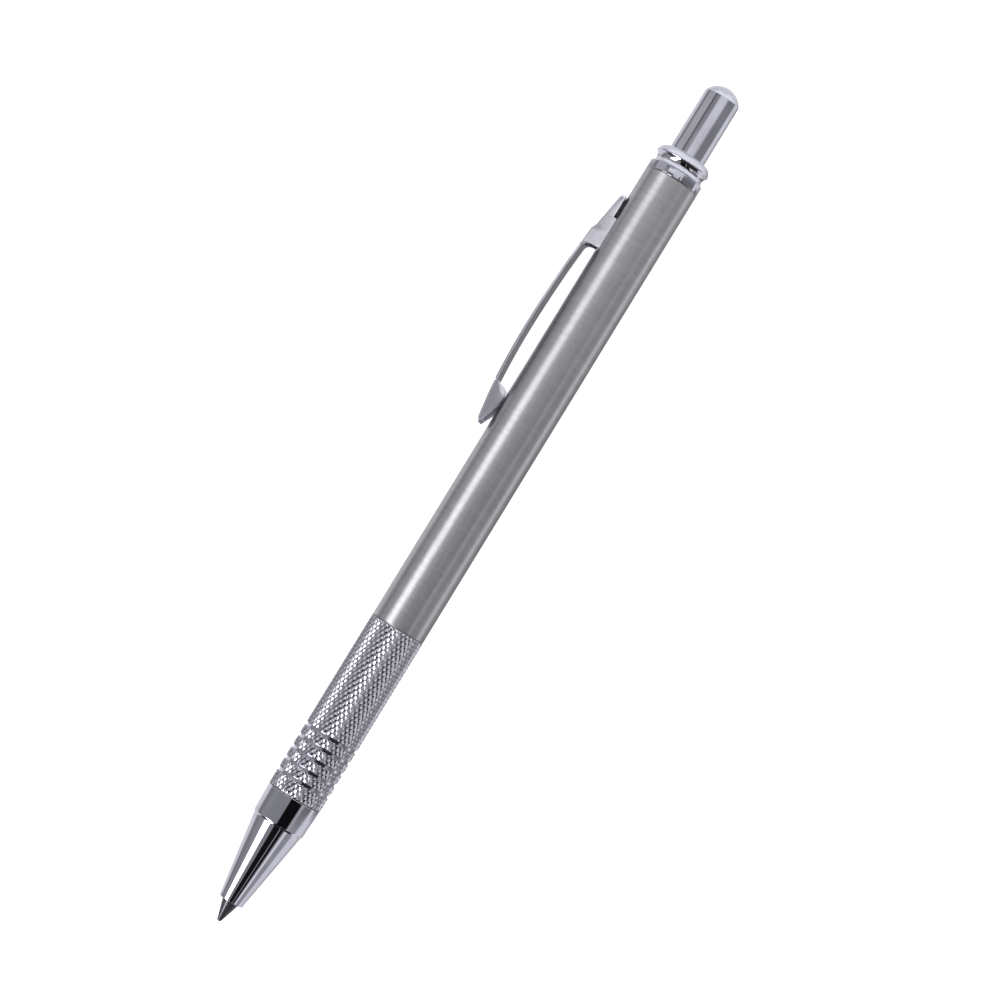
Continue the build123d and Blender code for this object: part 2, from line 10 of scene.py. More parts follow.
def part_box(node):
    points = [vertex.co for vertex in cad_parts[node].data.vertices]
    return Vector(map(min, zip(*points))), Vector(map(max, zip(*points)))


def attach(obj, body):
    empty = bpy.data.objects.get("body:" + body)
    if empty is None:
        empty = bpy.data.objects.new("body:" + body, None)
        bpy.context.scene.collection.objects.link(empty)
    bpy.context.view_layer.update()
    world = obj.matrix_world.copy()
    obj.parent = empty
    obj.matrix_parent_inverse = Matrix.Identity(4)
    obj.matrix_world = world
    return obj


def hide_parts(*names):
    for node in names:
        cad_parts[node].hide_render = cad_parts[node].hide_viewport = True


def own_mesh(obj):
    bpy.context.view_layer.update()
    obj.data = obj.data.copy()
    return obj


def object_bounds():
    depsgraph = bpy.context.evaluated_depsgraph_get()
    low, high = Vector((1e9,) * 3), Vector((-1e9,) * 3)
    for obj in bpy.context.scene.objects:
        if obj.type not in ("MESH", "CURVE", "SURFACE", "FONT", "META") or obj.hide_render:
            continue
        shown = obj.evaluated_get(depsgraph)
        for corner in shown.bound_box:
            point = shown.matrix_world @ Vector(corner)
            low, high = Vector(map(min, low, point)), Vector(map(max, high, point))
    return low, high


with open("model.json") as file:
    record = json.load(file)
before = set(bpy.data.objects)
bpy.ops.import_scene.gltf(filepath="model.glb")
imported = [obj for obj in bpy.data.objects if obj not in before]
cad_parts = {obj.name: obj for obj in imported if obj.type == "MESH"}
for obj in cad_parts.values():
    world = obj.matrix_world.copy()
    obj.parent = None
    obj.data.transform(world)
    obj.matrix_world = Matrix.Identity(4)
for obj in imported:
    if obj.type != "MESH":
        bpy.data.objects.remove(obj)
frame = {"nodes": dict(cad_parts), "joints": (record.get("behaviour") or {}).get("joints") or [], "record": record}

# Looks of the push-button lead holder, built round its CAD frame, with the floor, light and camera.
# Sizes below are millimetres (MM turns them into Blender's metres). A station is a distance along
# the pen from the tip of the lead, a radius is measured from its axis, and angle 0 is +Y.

MM = 0.001
cad_low, cad_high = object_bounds()


# Driving sizes ------------------------------------------------------------------------------
SEGMENTS = 160  # flat sides of a turned piece
ROUND_STEPS = 5  # sides of a rounded corner
SUPPORT = 0.03  # ring beside a rounded corner, which keeps the flat next to it flat
TOOL_EDGE = 0.04  # rounding that any turned edge has
FINE_EDGE = 0.02

LEAD_R = 1.5
LEAD_TIP_R = 0.4
LEAD_POINT_END = 3.85
LEAD_LEAN = 17.7  # degrees of the point's side from the axis
LEAD_TIP_STEPS = 8
LEAD_POINT_RINGS = 7
LEAD_LENGTH = 88.0

MOUTH = 3.55
MOUTH_R = 2.015
MOUTH_BORE_R = 1.55
MOUTH_DEPTH = 7.5
MOUTH_EDGE = 0.12
THROAT = (11.8, 2.7)
CHAMBER_START = 13.6
CONE_END = (17.25, 4.165)
BEVEL_END = (17.55, 4.345)
BEVEL_EDGE = 0.25
NOZZLE_END = 22.25
JOINT_CHAMFER = 0.12
SPIGOT_END = 27.5
SPIGOT_R = 3.5
CHAMBER_R = 3.05

GRIP_R = 4.56
GRIP_END = 52.45
GRIP_BORE_R = 3.52
GRIP_REAR_BORE_R = 3.9
GRIP_REAR_BORE_START = 45.0
GROOVES = 5
FIRST_GROOVE = 24.85
GROOVE_PITCH = 2.0
GROOVE_TOP = 0.66
GROOVE_FLOOR = 0.42
GROOVE_DEPTH = 0.28

KNURL_STARTS = 37
KNURL_PITCH = 1.348  # along the axis
KNURL_CELLS = 8  # mesh cells across one diamond, either way
KNURL_DEPTH = 0.115
KNURL_CROWN = 1.4  # how rounded a diamond is: 1 is a pyramid
KNURL_CREASE = 28
KNURL_END = 52.3
GAP_HALF = 0.05  # half the width of the gap at a joint, which is painted near black as shade
# near-black colour painted into the joint gaps as painted shade
GAP_SHADE = (0.02, 0.02, 0.02)
PLAIN_HEIGHT = 0.15  # of the turned rings at both ends of the grip

TUBE_R = 4.5
TUBE_END = 133.25

COLLAR_START = 127.4
COLLAR_BORE_R = 3.06
COLLAR_INNER_R = 3.45
COLLAR_SHOULDER = 132.6
COLLAR_SPIGOT_R = 3.88
NECK_START = 134.65
NECK_END = 136.4
NECK_DEPTH = 0.45
NECK_EDGE = 0.06
NECK_SHARE = 0.93  # of the neck's arc that is left between its rounded edges
NECK_STEPS = 10
BEAD_START = 136.45
BEAD_R = 4.515
BEAD_ROUND = 1.4
BEAD_SWEEP = 72
BEAD_STEPS = 14
BEAD_LIP = 0.12

BUTTON_R = 3.0
CAP_EDGE = 135.5
CAP_BORE_R = 2.46
CAP_BORE_END = 147.3
DOME_START = 148.28
DOME_STEPS = 18
PEN_LENGTH = 150.2

SPRING_WIRE_R = 0.2
SPRING_R = 3.08
SPRING_TURNS = 7
SPRING_STEPS = 32  # straight bits of wire in one turn of the coil
WIRE_SIDES = 10
WIRE_CREASE = 60

CLIP_HALF_WIDTH = 2.2
CLIP_SHEET = 0.45
CLIP_TOP = [
    (86.0, 6.25),
    (91.1, 6.98),
    (97.1, 7.42),
    (103.6, 7.55),
    (112.0, 7.31),
    (120.6, 6.7),
]
CLIP_KNEE = [(120.6, 6.7), (121.2, 6.58), (121.3, 6.35), (121.8, 6.25)]
CLIP_TAIL = (127.2, 5.36)
CLIP_TAIL_END = 127.65
CLIP_FOOT_EDGE = [
    (86.0, 5.8),
    (86.35, 5.75),
    (88.5, 4.78),
    (90.5, 4.39),
    (91.9, 4.62),
    (92.8, 5.8),
    (93.05, 6.8),
]
CLIP_ARCH = [(116.75, 6.75), (118.0, 6.5), (118.5, 6.1), (118.5, 5.1)]
CLIP_TAB_END = 123.7
CLIP_TAB_BOTTOM = 2.6
CLIP_TAIL_GAP = 0.25
CLIP_BEND = 0.36  # outer radius of the folds between web and flanges
CLIP_CORNER = 0.5  # corners of the sheet seen from above
CLIP_EDGE = 0.09  # deburred cut edge
CLIP_INNER_BEND = 0.12
CLIP_LEAST_BEND = 0.14  # where the flanges run out into the strap
CLIP_FOLD_REACH = 0.25  # how far the tail's fold is drawn out before it turns down
CLIP_FOLD_DROP = 0.04
CLIP_ROW_GAP = 0.05  # least distance between rows of the mesh at the foot
CLIP_WEB_SHARES = (0.35, 0.7)
CLIP_CREASE = 40
CLIP_STRAP_ROWS = 30
CLIP_ROOT_ROWS = 5
CLIP_KNEE_ROWS = 9
CLIP_TAB_ROWS = 4
CLIP_TAIL_ROWS = [125.2, 126.3]
CLIP_CORNER_TURNS = (0, 18, 36, 54, 72, 90)
CLIP_END_WALL = (0.92, 0.86, 0.8, 0.72, 0.6, 0.5, 0.4, 0.3, 0.2, 0.1, 0.0)  # shares of its half width


# Pen frame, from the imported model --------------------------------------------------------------
barrel_mount = next(m for m in frame["record"]["mounts"] if m["name"] == "barrel_clamp")
clip_joint = next(j for j in frame["joints"] if j["name"] == "clip_flex")
TIP = Vector((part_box("lead")[0].x, barrel_mount["pos_m"][1], barrel_mount["pos_m"][2]))
ALONG = Vector((1, 0, 0))
CLIP_ACROSS = -Vector(clip_joint["axis"])
CLIP_OUT = CLIP_ACROSS.cross(ALONG)


def on_pen(station, out, across=0.0):
    """A point in the clip's frame: out from the pen's axis towards the clip, and across it."""
    return TIP + (station * ALONG + out * CLIP_OUT + across * CLIP_ACROSS) * MM


# Mesh helpers --------------------------------------------------------------------------------------
def mesh_piece(name, points, faces, crease=None):
    """A smooth-shaded mesh object, with edges sharper than crease degrees kept sharp."""
    mesh = bpy.data.meshes.new(name)
    mesh.from_pydata([tuple(p) for p in points], [], faces)
    body = bmesh.new()
    body.from_mesh(mesh)
    bmesh.ops.remove_doubles(body, verts=body.verts, dist=1e-7)
    bmesh.ops.recalc_face_normals(body, faces=body.faces)
    body.to_mesh(mesh)
    body.free()
    mesh.shade_smooth()
    if crease is not None:
        mesh.set_sharp_from_angle(angle=radians(crease))
    piece = bpy.data.objects.new(name, mesh)
    bpy.context.scene.collection.objects.link(piece)
    return piece


def rounded(corners):
    """Closed outline of (station, radius, rounding) corners, each replaced by a small arc."""
    outline = []
    count = len(corners)
    for i, (x, r, rounding) in enumerate(corners):
        here = Vector((x, r))
        before = Vector(corners[i - 1][:2]) - here
        after = Vector(corners[(i + 1) % count][:2]) - here
        if rounding == 0:
            outline.append(here)
            continue
        turn = before.angle(after)
        reach = rounding / tan(turn / 2)
        limit = 0.45 * min(before.length, after.length)
        if reach > limit:
            rounding *= limit / reach
            reach = limit
        centre_way = (before.normalized() + after.normalized()).normalized()
        centre = here + centre_way * rounding / sin(turn / 2)
        first = here + before.normalized() * reach - centre
        last = here + after.normalized() * reach - centre
        sweep = first.angle_signed(last)
        if reach + 2 * SUPPORT < limit:
            outline.append(here + before.normalized() * (reach + SUPPORT))
        for step in range(ROUND_STEPS + 1):
            arm = first.copy()
            arm.rotate(Matrix.Rotation(-sweep * step / ROUND_STEPS, 2))
            outline.append(centre + arm)
        if reach + 2 * SUPPORT < limit:
            outline.append(here + after.normalized() * (reach + SUPPORT))
    return outline


def turned(name, outline):
    """A piece turned on the pen's axis from a closed outline of (station, radius) points."""
    points = []
    for station, radius in outline:
        for side in range(SEGMENTS):
            angle = 2 * pi * side / SEGMENTS
            points.append(TIP + Vector((station, radius * cos(angle), radius * sin(angle))) * MM)
    faces = []
    rings = len(outline)
    for ring in range(rings):
        after = (ring + 1) % rings
        if outline[ring][1] == 0 and outline[after][1] == 0:
            continue
        for side in range(SEGMENTS):
            turn = (side + 1) % SEGMENTS
            face = (
                ring * SEGMENTS + side,
                ring * SEGMENTS + turn,
                after * SEGMENTS + turn,
                after * SEGMENTS + side,
            )
            faces.append(face)
    return mesh_piece(name, points, faces)


def arc(centre, radius, start, end, steps):
    """Points of an arc in the (station, radius) plane, angles in degrees."""
    turns = [radians(start + (end - start) * i / steps) for i in range(steps + 1)]
    return [Vector((centre[0] + radius * cos(t), centre[1] + radius * sin(t))) for t in turns]


def smooth_line(points, steps=12):
    """Catmull-Rom curve through points, as an array of dense points."""
    before_first = 2 * np.array(points[0]) - points[1]
    after_last = 2 * np.array(points[-1]) - points[-2]
    ends = [before_first, *map(np.array, points), after_last]
    line = []
    for a, b, c, d in zip(ends, ends[1:], ends[2:], ends[3:]):
        for step in range(steps):
            t = step / steps
            squared = 2 * a - 5 * b + 4 * c - d
            cubed = 3 * b - a - 3 * c + d
            line.append(0.5 * (2 * b + (c - a) * t + squared * t**2 + cubed * t**3))
    line.append(ends[-2])
    return np.array(line)


def bezier_line(points, steps=10):
    """Cubic Bezier curve of four points, as an array of dense points."""
    a, b, c, d = map(np.array, points)
    line = []
    for step in range(steps + 1):
        t = step / steps
        line.append(a * (1 - t) ** 3 + 3 * b * t * (1 - t) ** 2 + 3 * c * t**2 * (1 - t) + d * t**3)
    return np.array(line)


# Node helpers -----------------------------------------------------------------------------------------
class Nodes:
    """A small builder for shader node trees."""

    def __init__(self, tree):
        self.tree = tree
        self.tree.nodes.clear()

    def add(self, kind, **values):
        node = self.tree.nodes.new(kind)
        for key, value in values.items():
            setattr(node, key, value)
        return node

    def wire(self, value, socket):
        if isinstance(value, bpy.types.NodeSocket):
            self.tree.links.new(value, socket)
        else:
            socket.default_value = value

    def math(self, operation, *values):
        node = self.add("ShaderNodeMath", operation=operation)
        for value, socket in zip(values, node.inputs):
            self.wire(value, socket)
        return node.outputs[0]

    def spread(self, value, low, high, to_low, to_high):
        """Map a range onto another, clamped."""
        node = self.add("ShaderNodeMapRange")
        for value_in, socket in zip((value, low, high, to_low, to_high), node.inputs):
            self.wire(value_in, socket)
        return node.outputs[0]

    def noise(self, place, scale, detail=3.0, rough=0.5):
        """Noise over a place whose three scales are features per millimetre."""
        mapping = self.add("ShaderNodeMapping")
        self.wire(place, mapping.inputs["Vector"])
        mapping.inputs["Scale"].default_value = [s / MM for s in scale]
        node = self.add("ShaderNodeTexNoise")
        self.wire(mapping.outputs[0], node.inputs["Vector"])
        node.inputs["Scale"].default_value = 1.0
        node.inputs["Detail"].default_value = detail
        node.inputs["Roughness"].default_value = rough
        return node.outputs["Fac"]

    def blend(self, factor, a, b):
        node = self.add("ShaderNodeMix", data_type="RGBA")
        self.wire(factor, node.inputs[0])
        self.wire((*a, 1.0) if isinstance(a, tuple) else a, node.inputs[6])
        self.wire((*b, 1.0) if isinstance(b, tuple) else b, node.inputs[7])
        return node.outputs[2]

    def bump(self, height, strength, distance, normal=None):
        node = self.add("ShaderNodeBump")
        node.inputs["Strength"].default_value = strength
        node.inputs["Distance"].default_value = distance * MM
        self.wire(height, node.inputs["Height"])
        if normal is not None:
            self.wire(normal, node.inputs["Normal"])
        return node.outputs[0]


def material(name):
    """A new material with its node builder, object coordinates and principled shader."""
    made = bpy.data.materials.new(name)
    made.use_nodes = True
    nodes = Nodes(made.node_tree)
    place = nodes.add("ShaderNodeTexCoord").outputs["Object"]
    shader = nodes.add("ShaderNodeBsdfPrincipled")
    output = nodes.add("ShaderNodeOutputMaterial")
    nodes.wire(shader.outputs[0], output.inputs["Surface"])
    return made, nodes, place, shader


def dress(piece, made):
    """Give a piece one material in place of whatever it has."""
    piece.data.materials.clear()
    piece.data.materials.append(made)


# Materials ----------------------------------------------------------------------------------------------
# tints, each pair a lighter and a darker or dirtier state of the same surface; the knurl's pair is a painted
# highlight on its tips and painted shade in its valleys
PLATE = (0.545, 0.545, 0.605)
SATIN_DARK = (0.385, 0.385, 0.39)
SATIN_LIGHT = (0.485, 0.485, 0.49)
# the knurl's valley colour is painted shade and its tip colour a painted highlight
KNURL_VALLEY_SHADED = (0.26, 0.26, 0.285)
KNURL_TIP_LIT = (0.68, 0.68, 0.735)
SPRING_STEEL = (0.74, 0.74, 0.79)
SPRING_STEEL_DULL = (0.64, 0.64, 0.69)
GRAPHITE_DARK = (0.04, 0.04, 0.045)
GRAPHITE_SHEEN = (0.085, 0.085, 0.09)
TABLE_DARK = (0.86, 0.86, 0.86)
TABLE_LIGHT = (0.9, 0.9, 0.9)

# roughness of each surface, from its smoothest to its roughest patch
NOSE_ROUGH = 0.035
BUTTON_ROUGH = 0.09
SATIN_ROUGH = (0.31, 0.37)
KNURL_ROUGH = (0.2, 0.1)  # from grimy valleys to worn tips
GROOVE_POLISH = 0.05  # how much smoother the grooves are
SHEET_ROUGH = (0.09, 0.16)
GRAPHITE_ROUGH = (0.2, 0.3)
TABLE_ROUGH = 0.9
SHEET_METALLIC = 0.88
GRAPHITE_METALLIC = 0.6


def crevice(nodes, place, stations):
    """1 in the fine gap at each of the given joints, 0 away from them: the mask of the painted shade there."""
    parts = nodes.add("ShaderNodeSeparateXYZ")
    nodes.wire(place, parts.inputs[0])
    mask = 0.0
    for station in stations:
        away = nodes.math("ABSOLUTE", nodes.math("SUBTRACT", parts.outputs[0], TIP.x + station * MM))
        here = nodes.spread(away, GAP_HALF * MM, 2 * GAP_HALF * MM, 1.0, 0.0)
        mask = nodes.math("MAXIMUM", mask, here)
    return mask


def chrome(name, tint, rough, joints=()):
    """Polished plating: faint bluish tint, soft smudges, hairline scratches, polishing waves and painted shade in
    the joint gaps.
    """
    made, nodes, place, shader = material(name)
    smudge = nodes.noise(place, (0.25, 0.25, 0.25), detail=4.0)
    scratch = nodes.noise(place, (1.2, 9.0, 9.0), detail=6.0, rough=0.7)
    wave = nodes.noise(place, (0.35, 0.3, 0.3), detail=1.0)
    dull = tuple(0.88 * c for c in tint)
    shade = nodes.blend(nodes.spread(smudge, 0.4, 0.7, 0.0, 1.0), tint, dull)
    # the fine gaps at the joints are painted near black, as painted shade
    nodes.wire(nodes.blend(crevice(nodes, place, joints), shade, GAP_SHADE), shader.inputs["Base Color"])
    shader.inputs["Metallic"].default_value = 1.0
    nodes.wire(nodes.spread(smudge, 0.35, 0.75, rough * 0.7, rough * 1.6), shader.inputs["Roughness"])
    waves = nodes.bump(wave, 0.12, 0.05)
    nodes.wire(nodes.bump(scratch, 0.05, 0.01, waves), shader.inputs["Normal"])
    return made


def brushed(name):
    """Satin steel brushed round the barrel: fine rings of light and dark, and a few handling marks."""
    made, nodes, place, shader = material(name)
    fine = nodes.noise(place, (9.0, 0.7, 0.7), detail=5.0, rough=0.65)
    coarse = nodes.noise(place, (1.6, 0.12, 0.12), detail=3.0)
    handling = nodes.noise(place, (0.12, 0.3, 0.3), detail=4.0)
    rings = nodes.math("ADD", nodes.math("MULTIPLY", fine, 0.7), nodes.math("MULTIPLY", coarse, 0.3))
    shade = nodes.blend(nodes.spread(rings, 0.35, 0.65, 0.0, 1.0), SATIN_DARK, SATIN_LIGHT)
    nodes.wire(shade, shader.inputs["Base Color"])
    shader.inputs["Metallic"].default_value = 1.0
    shader.inputs["Anisotropic"].default_value = 0.8
    shader.inputs["Anisotropic Rotation"].default_value = 0.25
    tangent = nodes.add("ShaderNodeTangent", direction_type="RADIAL", axis="X")
    nodes.wire(tangent.outputs[0], shader.inputs["Tangent"])
    worn = nodes.math("ADD", nodes.math("MULTIPLY", rings, 0.5), nodes.math("MULTIPLY", handling, 0.5))
    nodes.wire(nodes.spread(worn, 0.35, 0.65, *SATIN_ROUGH), shader.inputs["Roughness"])
    nodes.wire(nodes.bump(rings, 0.35, 0.012), shader.inputs["Normal"])
    return made


def from_axis(nodes, place):
    """Distance from the pen's axis in millimetres."""
    parts = nodes.add("ShaderNodeSeparateXYZ")
    nodes.wire(place, parts.inputs[0])
    y = nodes.math("SUBTRACT", parts.outputs[1], TIP.y)
    z = nodes.math("SUBTRACT", parts.outputs[2], TIP.z)
    squares = nodes.math("ADD", nodes.math("MULTIPLY", y, y), nodes.math("MULTIPLY", z, z))
    return nodes.math("DIVIDE", nodes.math("SQRT", squares), MM)


def knurled(name):
    """Nickel plate over the knurl: tips painted lighter as highlight and valleys painted darker as shade, mixed
    with grime noise, and polished grooves.
    """
    made, nodes, place, shader = material(name)
    radius = from_axis(nodes, place)
    height = nodes.spread(radius, GRIP_R - KNURL_DEPTH, GRIP_R, 0.0, 1.0)
    grime = nodes.noise(place, (1.5, 1.5, 1.5), detail=4.0)
    # height on the knurl, mixed with grime noise, paints shade into the valleys and highlight onto the tips
    lit_and_clean = nodes.math("ADD", height, nodes.math("MULTIPLY", nodes.math("SUBTRACT", grime, 0.5), 0.5))
    worn = nodes.blend(nodes.spread(lit_and_clean, 0.0, 0.6, 0.0, 1.0), KNURL_VALLEY_SHADED, KNURL_TIP_LIT)
    groove_wall = GRIP_R - GROOVE_DEPTH / 2
    smooth = nodes.spread(radius, groove_wall - 0.02, groove_wall, 1.0, 0.0)
    shade = nodes.blend(smooth, worn, PLATE)
    # the gaps at both ends of the grip are painted near black as painted shade, and made rougher
    gap = crevice(nodes, place, (NOZZLE_END, GRIP_END))
    nodes.wire(nodes.blend(gap, shade, GAP_SHADE), shader.inputs["Base Color"])
    shader.inputs["Metallic"].default_value = 1.0
    rough = nodes.spread(lit_and_clean, 0.0, 1.0, *KNURL_ROUGH)
    rough = nodes.math("SUBTRACT", rough, nodes.math("MULTIPLY", smooth, GROOVE_POLISH))
    nodes.wire(nodes.math("ADD", rough, nodes.math("MULTIPLY", gap, 0.4)), shader.inputs["Roughness"])
    grain = nodes.noise(place, (7.0, 7.0, 7.0), detail=4.0)
    nodes.wire(nodes.bump(grain, 0.15, 0.01), shader.inputs["Normal"])
    return made


def sheet_steel(name):
    """Plated spring steel: drawn along the clip, with soft smudges."""
    made, nodes, place, shader = material(name)
    drawn = nodes.noise(place, (0.25, 6.0, 6.0), detail=5.0, rough=0.6)
    smudge = nodes.noise(place, (0.3, 0.3, 0.3), detail=4.0)
    shade = nodes.blend(nodes.spread(smudge, 0.35, 0.7, 0.0, 1.0), SPRING_STEEL, SPRING_STEEL_DULL)
    nodes.wire(shade, shader.inputs["Base Color"])
    shader.inputs["Metallic"].default_value = SHEET_METALLIC
    nodes.wire(nodes.spread(smudge, 0.3, 0.75, *SHEET_ROUGH), shader.inputs["Roughness"])
    nodes.wire(nodes.bump(drawn, 0.12, 0.01), shader.inputs["Normal"])
    return made


def turned_metal(name, bright, dull, rough):
    """Lathe-turned metal of the inner pieces: feed rings along the axis and patches of tarnish."""
    made, nodes, place, shader = material(name)
    rings = nodes.noise(place, (6.0, 0.3, 0.3), detail=4.0)
    tarnish = nodes.noise(place, (0.5, 0.5, 0.5), detail=5.0)
    shade = nodes.blend(nodes.spread(tarnish, 0.35, 0.7, 0.0, 1.0), bright, dull)
    nodes.wire(shade, shader.inputs["Base Color"])
    shader.inputs["Metallic"].default_value = 1.0
    nodes.wire(nodes.spread(tarnish, 0.3, 0.7, rough * 0.8, rough * 1.4), shader.inputs["Roughness"])
    nodes.wire(nodes.bump(rings, 0.3, 0.015), shader.inputs["Normal"])
    return made


def graphite(name):
    """Lead: dark grey with a metallic sheen, scraped grain round the point and fine pores."""
    made, nodes, place, shader = material(name)
    scraped = nodes.noise(place, (8.0, 1.2, 1.2), detail=4.0)
    pores = nodes.noise(place, (14.0, 14.0, 14.0), detail=3.0)
    grain = nodes.math("ADD", nodes.math("MULTIPLY", scraped, 0.6), nodes.math("MULTIPLY", pores, 0.4))
    shade = nodes.blend(nodes.spread(grain, 0.35, 0.65, 0.0, 1.0), GRAPHITE_DARK, GRAPHITE_SHEEN)
    nodes.wire(shade, shader.inputs["Base Color"])
    shader.inputs["Metallic"].default_value = GRAPHITE_METALLIC
    nodes.wire(nodes.spread(pores, 0.35, 0.65, *GRAPHITE_ROUGH), shader.inputs["Roughness"])
    nodes.wire(nodes.bump(grain, 0.3, 0.02), shader.inputs["Normal"])
    return made


def table_top(name):
    """Plain pale floor, a matte white sheet with the faintest mottling."""
    made, nodes, place, shader = material(name)
    mottle = nodes.noise(place, (0.02, 0.02, 0.02), detail=3.0)
    shade = nodes.blend(mottle, TABLE_DARK, TABLE_LIGHT)
    nodes.wire(shade, shader.inputs["Base Color"])
    shader.inputs["Roughness"].default_value = TABLE_ROUGH
    shader.inputs["Emission Color"].default_value = WHITE
    shader.inputs["Emission Strength"].default_value = FLOOR_GLOW
    return made


# Pieces ---------------------------------------------------------------------------------------------
def make_lead():
    """Sharpened graphite stick."""
    tip = arc((LEAD_TIP_R, 0), LEAD_TIP_R, 180, 90 + LEAD_LEAN, LEAD_TIP_STEPS)
    outline = [*tip]
    cone_start = tip[-1]
    cone_end = Vector((LEAD_POINT_END, LEAD_R))
    for step in range(1, LEAD_POINT_RINGS):
        outline.append(cone_start.lerp(cone_end, step / LEAD_POINT_RINGS))
    rear = rounded(
        [
            (LEAD_POINT_END, LEAD_R, 0),
            (LEAD_LENGTH, LEAD_R, TOOL_EDGE),
            (LEAD_LENGTH, 0, 0),
        ]
    )
    return turned("lead_graphite", [*outline, *rear])


def make_nozzle():
    """Nose cone, its collar, the spigot inside the grip and the guide bore."""
    corners = [
        (MOUTH, MOUTH_BORE_R, FINE_EDGE),
        (MOUTH, MOUTH_R, MOUTH_EDGE),
        (*CONE_END, BEVEL_EDGE),
        (*BEVEL_END, BEVEL_EDGE),
        (NOZZLE_END - JOINT_CHAMFER, TUBE_R, TOOL_EDGE),
        (NOZZLE_END, TUBE_R - JOINT_CHAMFER, FINE_EDGE),
        (NOZZLE_END, SPIGOT_R, FINE_EDGE),
        (SPIGOT_END, SPIGOT_R, TOOL_EDGE),
        (SPIGOT_END, CHAMBER_R, TOOL_EDGE),
        (CHAMBER_START, CHAMBER_R, FINE_EDGE),
        (*THROAT, FINE_EDGE),
        (MOUTH_DEPTH, MOUTH_BORE_R, FINE_EDGE),
    ]
    return turned("nose_cone", rounded(corners))


def make_end_collar():
    """Collar at the back: spigot, round neck and rolled bead."""
    corners = [
        (COLLAR_START, COLLAR_INNER_R, TOOL_EDGE),
        (COLLAR_START, COLLAR_SPIGOT_R, TOOL_EDGE),
        (TUBE_END, COLLAR_SPIGOT_R, FINE_EDGE),
        (TUBE_END, TUBE_R - JOINT_CHAMFER, FINE_EDGE),
        (TUBE_END + JOINT_CHAMFER, TUBE_R, TOOL_EDGE),
        (NECK_START, TUBE_R, NECK_EDGE),
    ]
    neck_middle = (NECK_START + NECK_END) / 2
    outline = rounded(corners + [(neck_middle, TUBE_R - NECK_DEPTH, 0)])[:-1]
    half = (NECK_END - NECK_START) / 2
    neck_r = (half**2 + NECK_DEPTH**2) / (2 * NECK_DEPTH)
    sweep = np.degrees(np.arcsin(half / neck_r))
    neck_centre = (neck_middle, TUBE_R - NECK_DEPTH + neck_r)
    outline += arc(neck_centre, neck_r, 270 - sweep * NECK_SHARE, 270 + sweep * NECK_SHARE, NECK_STEPS)
    # a small arc turns up out of the neck, and runs into the bead's own
    outline += arc((BEAD_START + 0.04, BEAD_R - BEAD_LIP), BEAD_LIP, 140, 92, 4)
    outline += arc((BEAD_START, BEAD_R - BEAD_ROUND), BEAD_ROUND, 86, 90 - BEAD_SWEEP + 3, BEAD_STEPS)
    bead_face = BEAD_START + BEAD_ROUND * sin(radians(BEAD_SWEEP))
    outline += rounded(
        [
            (bead_face, BEAD_R - BEAD_ROUND, 0),
            (bead_face, COLLAR_BORE_R, BEAD_LIP),
            (COLLAR_SHOULDER, COLLAR_BORE_R, FINE_EDGE),
            (COLLAR_SHOULDER, COLLAR_INNER_R, FINE_EDGE),
            (COLLAR_START, COLLAR_INNER_R, 0),
        ]
    )[1:-1]
    return turned("end_collar_chrome", outline)


def make_button():
    """Domed push button, hollow from the front."""
    rise = PEN_LENGTH - DOME_START
    dome_r = (rise**2 + BUTTON_R**2) / (2 * rise)
    edge = np.degrees(np.arcsin(BUTTON_R / dome_r))
    dome = arc((PEN_LENGTH - dome_r, 0), dome_r, edge - 5, 0, DOME_STEPS)
    outline = rounded(
        [
            (CAP_BORE_END, 0, 0),
            (CAP_BORE_END, CAP_BORE_R, TOOL_EDGE),
            (CAP_EDGE, CAP_BORE_R, TOOL_EDGE),
            (CAP_EDGE, BUTTON_R, TOOL_EDGE),
            (DOME_START, BUTTON_R, TOOL_EDGE),
            (*dome[0], 0),
        ]
    )
    outline += dome[1:-1]
    outline.append(Vector((PEN_LENGTH, 0)))
    return turned("button_chrome", outline)


def spring_ends():
    """Stations of the wire's middle at both ends of the return spring."""
    low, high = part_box("return_spring")
    return (low.x - TIP.x) / MM + SPRING_WIRE_R, (high.x - TIP.x) / MM - SPRING_WIRE_R


def make_spring():
    """Return spring, an open coil of round wire at the length of the CAD spring."""
    start, end = spring_ends()
    count = SPRING_TURNS * SPRING_STEPS
    points = []
    for step in range(count + 1):
        turn = 2 * pi * step / SPRING_STEPS
        outward = Vector((0, cos(turn), sin(turn)))
        middle = (start + (end - start) * step / count) * ALONG + SPRING_R * outward
        for side in range(WIRE_SIDES):
            angle = 2 * pi * side / WIRE_SIDES
            wall = SPRING_WIRE_R * (cos(angle) * outward + sin(angle) * ALONG)
            points.append(TIP + (middle + wall) * MM)
    faces = []
    for step in range(count):
        for side in range(WIRE_SIDES):
            after = (side + 1) % WIRE_SIDES
            near, far = step * WIRE_SIDES, (step + 1) * WIRE_SIDES
            faces.append((near + side, near + after, far + after, far + side))
    faces.append(tuple(range(WIRE_SIDES)))
    faces.append(tuple(range(count * WIRE_SIDES, (count + 1) * WIRE_SIDES)))
    return mesh_piece("return_coil", points, faces, crease=WIRE_CREASE)


def knurl_height(station, turn):
    """Height of the knurl from 0 in its valleys to 1 on its rounded tips, for arrays."""
    first = KNURL_STARTS * turn + station / KNURL_PITCH
    second = KNURL_STARTS * turn - station / KNURL_PITCH
    ridge = [np.abs((u % 1.0) - 0.5) * 2 for u in (first, second)]
    return 1 - np.maximum(*ridge) ** KNURL_CROWN


